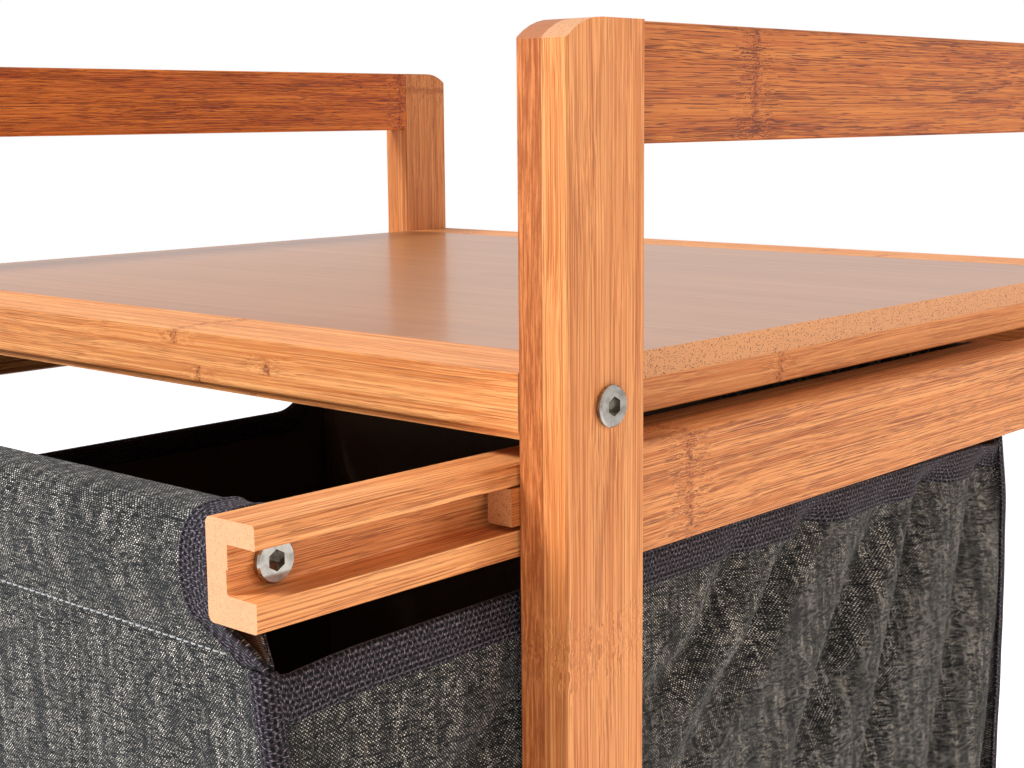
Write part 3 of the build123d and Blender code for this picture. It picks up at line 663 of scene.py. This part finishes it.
def mesh_object(name, points, faces):
    mesh = bpy.data.meshes.new(name)
    mesh.from_pydata([tuple(p) for p in points], [], faces)
    mesh.update()
    obj = bpy.data.objects.new(name, mesh)
    bpy.context.scene.collection.objects.link(obj)
    return obj


def smoothed(moves, width):
    """The moves of the rings' points, each averaged with its neighbours', but with the held edges kept."""
    out = list(moves)
    corners = [start for _, start, _ in bag_corners()]
    for i in range(width, len(moves) - width):
        column = i % width
        if column in corners:
            continue
        left = i - 1 if column else i - 1 + width
        right = i + 1 if column < width - 1 else i + 1 - width
        beside = moves[left] + moves[right] + moves[i - width] + moves[i + width]
        out[i] = moves[i] * 0.4 + beside * 0.15
    return out


def draped(rows):
    """The same rings after a cloth simulation that holds the mouth, the corner seams and the floor."""
    width = len(rows[0])
    points = [p for ring in rows for p in ring]
    faces = [
        (r * width + c, r * width + (c + 1) % width, (r + 1) * width + (c + 1) % width, (r + 1) * width + c)
        for r in range(len(rows) - 1)
        for c in range(width)
    ]
    obj = mesh_object("bag_walls_raw", points, faces)
    held = obj.vertex_groups.new(name="held")
    corners = [start for _, start, _ in bag_corners()]
    for r in range(len(rows)):
        for c in range(width):
            if r == 0 or r == len(rows) - 1 or c in corners:
                held.add([r * width + c], 1.0, "REPLACE")
    cloth = obj.modifiers.new("cloth", "CLOTH")
    cloth.settings.quality = 5
    cloth.settings.mass = 0.15
    cloth.settings.tension_stiffness = 12
    cloth.settings.compression_stiffness = 12
    cloth.settings.shear_stiffness = 4
    cloth.settings.bending_stiffness = 1.2
    cloth.settings.vertex_group_mass = "held"
    cloth.settings.effector_weights.gravity = 0.6
    cloth.collision_settings.use_collision = False
    cloth.point_cache.frame_start = 1
    cloth.point_cache.frame_end = DRAPE_FRAMES
    for step in range(1, DRAPE_FRAMES + 1):
        bpy.context.scene.frame_set(step)
    evaluated = obj.evaluated_get(bpy.context.evaluated_depsgraph_get())
    after = [v.co.copy() for v in evaluated.data.vertices]
    bpy.data.objects.remove(obj)
    bpy.context.scene.frame_set(1)
    moves = [end - start for start, end in zip(points, after)]
    for _ in range(DRAPE_SMOOTHING):
        moves = smoothed(moves, width)
    for i, (start, move) in enumerate(zip(points, moves)):
        if move.length > DRAPE_LIMIT:
            move = move * (DRAPE_LIMIT / move.length)
        end = start + move
        after[i] = Vector((max(-WALL_LIMIT, min(WALL_LIMIT, end.x)), end.y, end.z))
    return [after[r * width:(r + 1) * width] for r in range(len(rows))]


def cloth_object(name, rows, cut, materials, thickness=CLOTH, smooth=1):
    """A sheet through rows of points, with its place on the flat cut in millimetres as its map."""
    width = len(rows[0])
    faces = [
        (r * width + c, (r + 1) * width + c, (r + 1) * width + c + 1, r * width + c + 1)
        for r in range(len(rows) - 1)
        for c in range(width - 1)
    ]
    obj = mesh_object(name, [p for row in rows for p in row], faces)
    flat = [uv for row in cut for uv in row]
    layer = obj.data.uv_layers.new(name=CLOTH_MAP)
    for loop in obj.data.loops:
        layer.data[loop.index].uv = flat[loop.vertex_index]
    for polygon in obj.data.polygons:
        polygon.use_smooth = True
    for material in materials:
        obj.data.materials.append(material)
    if smooth:
        rounding = obj.modifiers.new("rounding", "SUBSURF")
        rounding.levels = smooth
        rounding.render_levels = smooth
    skin = obj.modifiers.new("thickness", "SOLIDIFY")
    skin.thickness = thickness
    skin.offset = 0.0
    skin.use_even_offset = False
    if len(materials) > 1:
        skin.material_offset = 1
    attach(obj, "drawer")
    return obj


def flat_cut(rows):
    """The place of each point on the flat cut, measured along the first row and down each column's middle."""
    across = [0.0]
    for a, b in zip(rows[-1], rows[-1][1:]):
        across.append(across[-1] + abs(a.x - b.x) + abs(a.y - b.y))
    column = len(rows[0]) // 2
    return [[(u / MM, row[column].z / MM) for u in across] for row in rows]


def panel_rows(rows, start, count):
    width = len(rows[0])
    return [[ring[(start + i) % width] for i in range(count + 1)] for ring in rows]


def ribbon(name, line, outward, up, section, materials, thickness=TAPE):
    """A tape along a line of points. section gives, for each point across the tape, how far it is
    outward and upward from the line."""
    rows, cut = [], []
    across = [0.0]
    for a, b in zip(section, section[1:]):
        across.append(across[-1] + math.dist(a, b))
    walked = 0.0
    for i, point in enumerate(line):
        if i:
            walked += (point - line[i - 1]).length
        rows.append([point + outward[i] * out + up[i] * rise for out, rise in section])
        cut.append([(walked / MM, width / MM) for width in across])
    return cloth_object(name, rows, cut, materials, thickness)


def resampled(line, spacing):
    """Points along a line at an even spacing."""
    out, left = [line[0]], spacing
    for a, b in zip(line, line[1:]):
        length = (b - a).length
        while length > 0 and left <= length:
            out.append(a.lerp(b, left / length))
            left += spacing
        left -= length
    return out


def stitches(name, line, outward, material, pitch=3.0 * MM, radius=0.24 * MM):
    """A row of sewing stitches along a line: short threads that rise out of the cloth and go back in."""
    points, faces = [], []
    spots = resampled(line, pitch)
    for start, end in zip(spots, spots[1:]):
        stop = start.lerp(end, 1 - STITCH_GAP)
        run = stop - start
        side = run.cross(outward).normalized()
        out = outward.normalized()
        for i in range(5):
            t = i / 4
            centre = start.lerp(stop, t) + out * radius * (2.2 * math.sin(math.pi * t) - 0.6)
            for k in range(6):
                angle = k * math.pi / 3
                points.append(centre + side * radius * math.cos(angle) + out * radius * math.sin(angle))
        base = len(points) - 30
        for i in range(4):
            for k in range(6):
                a, b = base + 6 * i + k, base + 6 * i + (k + 1) % 6
                faces.append((a, b, b + 6, a + 6))
        faces.append(tuple(base + k for k in reversed(range(6))))
        faces.append(tuple(base + 24 + k for k in range(6)))
    obj = mesh_object(name, points, faces)
    for polygon in obj.data.polygons:
        polygon.use_smooth = True
    obj.data.materials.append(material)
    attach(obj, "drawer")
    return obj


def sleeve_section(end, offset=0.0):
    """The loop that a sleeve makes round its crossbar, in Y and Z. It starts and ends at its stitch line."""
    y, z = middle(CROSSBARS[end], 1), middle(CROSSBARS[end], 2)
    loop = []
    for out, rise in SLEEVE_PROFILE:
        away = Vector((math.copysign(offset, out), 0))
        if rise > SEWN_RISE:
            away = Vector((out, rise)).normalized() * offset
        loop.append((y + ENDS[end] * (out * MM + away.x), z + rise * MM + away.y))
    return loop


def sleeve_half(z):
    """Half the length of a sleeve: it ends at the channels, and flares to the bag's corners below them."""
    share = max(0.0, min(1.0, (FLARE_TOP - z) / (FLARE_TOP - SLEEVE_FOOT)))
    return SLEEVE_HALF + (HALF_WIDTH - 0.3 * MM - SLEEVE_HALF) * share


def sleeve_tape(end, side, tape):
    """The tape round a sleeve's end, which runs on down the flare to the corner of the bag."""
    widths = (0.0, 0.5, 3.3, 7.2, 10.6, 11.2)
    rises = (-0.9, -0.3, 0.0, 0.0, -0.3, -0.8)
    loop = sleeve_section(end, 0.6 * MM)
    band, cut, walked = [], [], 0.0
    for i, (y, z) in enumerate(loop):
        if i:
            walked += math.dist(loop[i - 1], loop[i])
        before, after = loop[max(0, i - 1)], loop[min(len(loop) - 1, i + 1)]
        away = Vector((0.0, before[1] - after[1], after[0] - before[0])).normalized() * -ENDS[end]
        puff = 0.2 * noise.noise(Vector((walked * 90, SIDES[side], 1.0)))
        row = []
        for width, rise in zip(widths, rises):
            x = SIDES[side] * (sleeve_half(z) + (0.1 - width) * MM)
            row.append(Vector((x, y, z)) - away * (rise + puff) * MM)
        band.append(row)
        cut.append([(walked / MM, width) for width in widths])
    piece = cloth_object(f"sleeve_binding_{end}_{side}", band, cut, [tape], TAPE)
    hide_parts("sleeve_bindings")
    return piece


def make_sleeve(end, outside, lining, tape, thread):
    """A sleeve of the bag with its two end tapes and the stitches under it."""
    loop = sleeve_section(end)
    columns = COLUMNS_ACROSS
    rows, cut, walked = [], [], 0.0
    for i, (y, z) in enumerate(loop):
        if i:
            walked += math.dist(loop[i - 1], loop[i])
        half = sleeve_half(z)
        slack = 1.0 - abs(2.0 * i / (len(loop) - 1) - 1.0)
        row = []
        for c in range(columns + 1):
            x = -half + 2 * half * c / columns
            inside = min(1.0, (half - abs(x)) / (14 * MM))
            fold = 1.5 * slack * inside * noise.noise(Vector((x * 32, walked * 30, 2.0)))
            gather = 0.5 * (1 - slack) * inside * noise.noise(Vector((x * 110, walked * 18, 5.0)))
            row.append(Vector((x, y + ENDS[end] * (fold + gather) * MM, z + 0.4 * fold * MM)))
        rows.append(row)
        cut.append([(p.x / MM, walked / MM) for p in row])
    if end == "front":
        rows, cut = rows[::-1], cut[::-1]
    sleeve = cloth_object(f"bag_{end}_sleeve", rows, cut, [outside, lining])
    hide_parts(f"bag_{end}_panel")
    pieces = [sleeve_tape(end, side, tape) for side in SIDES]
    y = loop[0][0] + ENDS[end] * 0.9 * MM
    line = [Vector((x, y, SLEEVE_FOOT + 1.0 * MM)) for x in (-HALF_WIDTH + 15 * MM, HALF_WIDTH - 15 * MM)]
    pieces.append(stitches(f"sleeve_stitches_{end}", line, Vector((0, ENDS[end], 0)), thread))


def make_panel(name, rows, outside, lining):
    """One wall of the bag, cut from the draped walls."""
    panel = cloth_object(f"bag_{name}", rows, flat_cut(rows), [outside, lining])
    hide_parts(f"bag_{name}_panel")


def side_binding(name, rows, tape, thread):
    """The tape folded over the top edge of a side panel, and its stitches."""
    sign = SIDES[name]
    top = rows[0]
    second = rows[2]
    count = len(top)
    up = [(top[i] - second[i]).normalized() for i in range(count)]
    outward = [Vector((sign, 0, 0)) for _ in top]
    high = 11.0
    wall = 1.25
    section = [
        (wall - 0.2, -high), (wall + 0.3, -high + 0.9), (wall + 0.35, -5.0), (wall + 0.2, -1.5),
        (0.8, 0.6), (0.0, 1.0), (-0.8, 0.6),
        (-wall - 0.2, -1.5), (-wall - 0.3, -5.0), (-wall - 0.2, -high + 0.5), (-wall, -high),
    ]
    section = [(out * MM, rise * MM) for out, rise in section]
    piece = ribbon(f"side_binding_{name}", top, outward, up, section, [tape])
    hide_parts("side_bindings")
    line = [p + o * (wall + 0.75) * MM - u * (high - 1.6) * MM for p, o, u in zip(top, outward, up)]
    sewn = stitches(f"side_stitches_{name}", line, Vector((sign, 0, 0)), thread, TAPE_PITCH, TAPE_THREAD)
    return [piece, sewn]


def corner_binding(end, side, line, tape, thread):
    """The tape sewn over a corner seam, from the sleeve's end down to the floor, and its stitches."""
    out_x, out_y = SIDES[side], ENDS[end]
    plan = [
        (-4.0, 1.0), (-3.5, 1.6), (-1.8, 2.1), (0.0, 1.9), (1.2, 1.1), (1.8, -0.3), (1.9, -2.0), (1.3, -3.2),
    ]
    rows, cut = [], []
    across = [0.0]
    for a, b in zip(plan, plan[1:]):
        across.append(across[-1] + math.dist(a, b))
    walked = 0.0
    for i, point in enumerate(line):
        if i:
            walked += (point - line[i - 1]).length
        drift = 1.1 * noise.noise(Vector((walked * 18, out_x, out_y)))
        puff = 0.6 * noise.noise(Vector((walked * 60, out_x + 3, out_y)))
        row = []
        for x, y in plan:
            row.append(point + Vector((out_x * min(x + drift, 2.4) * MM, out_y * (y + puff) * MM, 0)))
        rows.append(row)
        cut.append([(walked / MM, width) for width in across])
    piece = cloth_object(f"corner_binding_{end}_{side}", rows, cut, [tape], TAPE)
    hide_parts("corner_bindings")
    sewn_line = [p + Vector((-out_x * 2.9 * MM, out_y * 2.5 * MM, 0)) for p in line]
    name = f"corner_stitches_{end}_{side}"
    sewn = stitches(name, sewn_line, Vector((0, out_y, 0)), thread, TAPE_PITCH, TAPE_THREAD)
    return [piece, sewn]


def make_bottom(outside, lining):
    """The floor of the bag, which sags a little round the stiff board that lies in it."""
    half_x, low, high = HALF_WIDTH, FRONT_FACE, BACK_FACE
    columns, lines = 48, 46
    rows, cut = [], []
    for r in range(lines + 1):
        y = low + (high - low) * r / lines
        row = []
        for c in range(columns + 1):
            x = -half_x + 2 * half_x * c / columns
            edge = min(half_x - abs(x), y - low, high - y)
            sag = 0.9 * MM * min(1.0, edge / (30 * MM)) + 0.3 * MM * noise.noise(Vector((x * 25, y * 25, 0)))
            row.append(Vector((x, y, BAG_FLOOR + 1.0 * MM - sag * min(1.0, edge / (8 * MM)))))
        rows.append(row)
        cut.append([(p.x / MM, p.y / MM) for p in row])
    bottom = cloth_object("bag_bottom_cloth", rows, cut, [outside, lining], smooth=0)
    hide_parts("bag_bottom")


def make_bag():
    outside = woven("bag_melange", 0.54, colour(12, 10, 8), colour(248, 232, 213), 0.66, 0.22)
    # The lining's colours are lightened about twofold: painted light inside the bag, which is lit only
    # through its mouth.
    lining = woven("bag_lining", 0.55, colour(100, 78, 62), colour(134, 109, 88), 0.50, 0.10)
    tape = mesh_tape("bag_mesh_tape")
    dark_thread = yarn("dark_thread", colour(78, 70, 74), colour(30, 26, 29))
    pale_thread = yarn("pale_thread", colour(196, 192, 186), colour(120, 116, 112))
    rows = lofted_walls()
    rows = draped(rows)
    panels = {name: panel_rows(rows, start, count) for name, start, count in bag_corners()}
    pieces = {name: [] for name in panels}
    for name in SIDES:
        pieces[name] += side_binding(name, panels[name], tape, dark_thread)
    for end in ENDS:
        wall = panels[end]
        for side in SIDES:
            first = (end == "front") == (side == "left")
            line = [row[0 if first else -1] for row in wall]
            pieces[end] += corner_binding(end, side, line, tape, dark_thread)
    for end in ENDS:
        make_sleeve(end, outside, lining, tape, pale_thread)
    for name, wall in panels.items():
        make_panel(name, wall, outside, lining)
    make_bottom(outside, lining)
    paint(["bag_base_board"], moulded("base_board_cover", colour(38, 33, 30), 0.75, 1.6, 0.12))


# Floor, light and camera

AMBIENT = 0.34
FLOOR_HALF = 12


def make_stage():
    """A pale floor, and a white studio that glossy surfaces see darken towards the floor."""
    half = FLOOR_HALF
    corners = [(-half, -half), (half, -half), (half, half), (-half, half)]
    floor = mesh_object("floor", [(x, y, 0) for x, y in corners], [(0, 1, 2, 3)])
    graph = Graph("pale_floor")
    x, y, _ = graph.place()
    mottle = graph.noise([graph.times(x, 0.004), graph.times(y, 0.004), 0.0], 3)
    graph.set(base_color=graph.mix(mottle, (0.86, 0.86, 0.86, 1), (0.90, 0.90, 0.90, 1)), roughness=0.7)
    graph.set(emission_color=(1.0, 1.0, 1.0, 1.0), emission_strength=0.62)
    floor.data.materials.append(graph.material)
    world = bpy.data.worlds.new("studio")
    bpy.context.scene.world = world
    world.use_nodes = True
    tree = world.node_tree
    seen = tree.nodes.new("ShaderNodeLightPath")
    either = tree.nodes.new("ShaderNodeMath")
    either.operation = "MAXIMUM"
    strength = tree.nodes.new("ShaderNodeMapRange")
    strength.inputs["To Min"].default_value = AMBIENT
    strength.inputs["To Max"].default_value = 1.0
    background = tree.nodes["Background"]
    around = tree.nodes.new("ShaderNodeTexCoord")
    height = tree.nodes.new("ShaderNodeSeparateXYZ")
    wall = tree.nodes.new("ShaderNodeMapRange")
    for name, value in (("From Min", -0.4), ("From Max", 0.1), ("To Min", 0.25), ("To Max", 1.0)):
        wall.inputs[name].default_value = value
    shade = tree.nodes.new("ShaderNodeMix")
    shade.data_type = "FLOAT"
    shade.inputs[2].default_value = 1.0
    link = tree.links.new
    link(around.outputs["Generated"], height.inputs[0])
    link(height.outputs["Z"], wall.inputs["Value"])
    link(seen.outputs["Is Glossy Ray"], shade.inputs[0])
    link(wall.outputs[0], shade.inputs[3])
    link(shade.outputs[0], background.inputs["Color"])
    link(seen.outputs["Is Camera Ray"], either.inputs[0])
    link(seen.outputs["Is Glossy Ray"], either.inputs[1])
    link(either.outputs[0], strength.inputs["Value"])
    link(strength.outputs[0], background.inputs["Strength"])


def make_light(name, place, target, size, power, tint=(1.0, 1.0, 1.0)):
    """A square soft box that faces a target."""
    data = bpy.data.lights.new(name, "AREA")
    data.shape = "SQUARE"
    data.size = size
    data.energy = power
    data.color = tint
    lamp = bpy.data.objects.new(name, data)
    bpy.context.scene.collection.objects.link(lamp)
    lamp.location = place
    lamp.rotation_euler = (Vector(target) - Vector(place)).to_track_quat("-Z", "Y").to_euler()


def make_lights():
    centre = (0.0, 0.0, 0.62)
    make_light("key_light", (-0.9, -1.7, 2.6), centre, 0.8, 104, (0.91, 1.04, 1.20))
    make_light("low_fill", (1.0, -2.3, 0.86), centre, 0.5, 13)
    make_light("side_light", (2.1, 1.4, 1.3), centre, 0.8, 26, (1.0, 0.98, 0.92))


def make_camera():
    """Close in front of the near post, a little above the board, as the object is usually pictured."""
    data = bpy.data.cameras.new("camera")
    data.sensor_width = 36.0
    data.lens = 58.57
    data.shift_y = -0.006
    data.clip_start = 0.01
    camera = bpy.data.objects.new("camera", data)
    bpy.context.scene.collection.objects.link(camera)
    yaw, pitch, roll = (math.radians(angle) for angle in (-42.066, 8.943, -0.511))
    forward = Vector((math.sin(yaw) * math.cos(pitch), math.cos(yaw) * math.cos(pitch), -math.sin(pitch)))
    level = Vector((math.cos(yaw), -math.sin(yaw), 0))
    upright = level.cross(forward)
    right = math.cos(roll) * level + math.sin(roll) * upright
    up = -math.sin(roll) * level + math.cos(roll) * upright
    corner = Vector((POST[1].x, POST[0].y, BOARD_TOP))
    place = corner + Vector((284.85, -337.88, 70.13)) * MM
    turn = Matrix((right, up, -forward)).transposed().to_4x4()
    camera.matrix_world = Matrix.Translation(place) @ turn
    bpy.context.scene.camera = camera


make_camera()
make_stage()
make_lights()
paint_wood()
paint_hardware()
make_bag()
bpy.context.scene.view_settings.view_transform = "Standard"
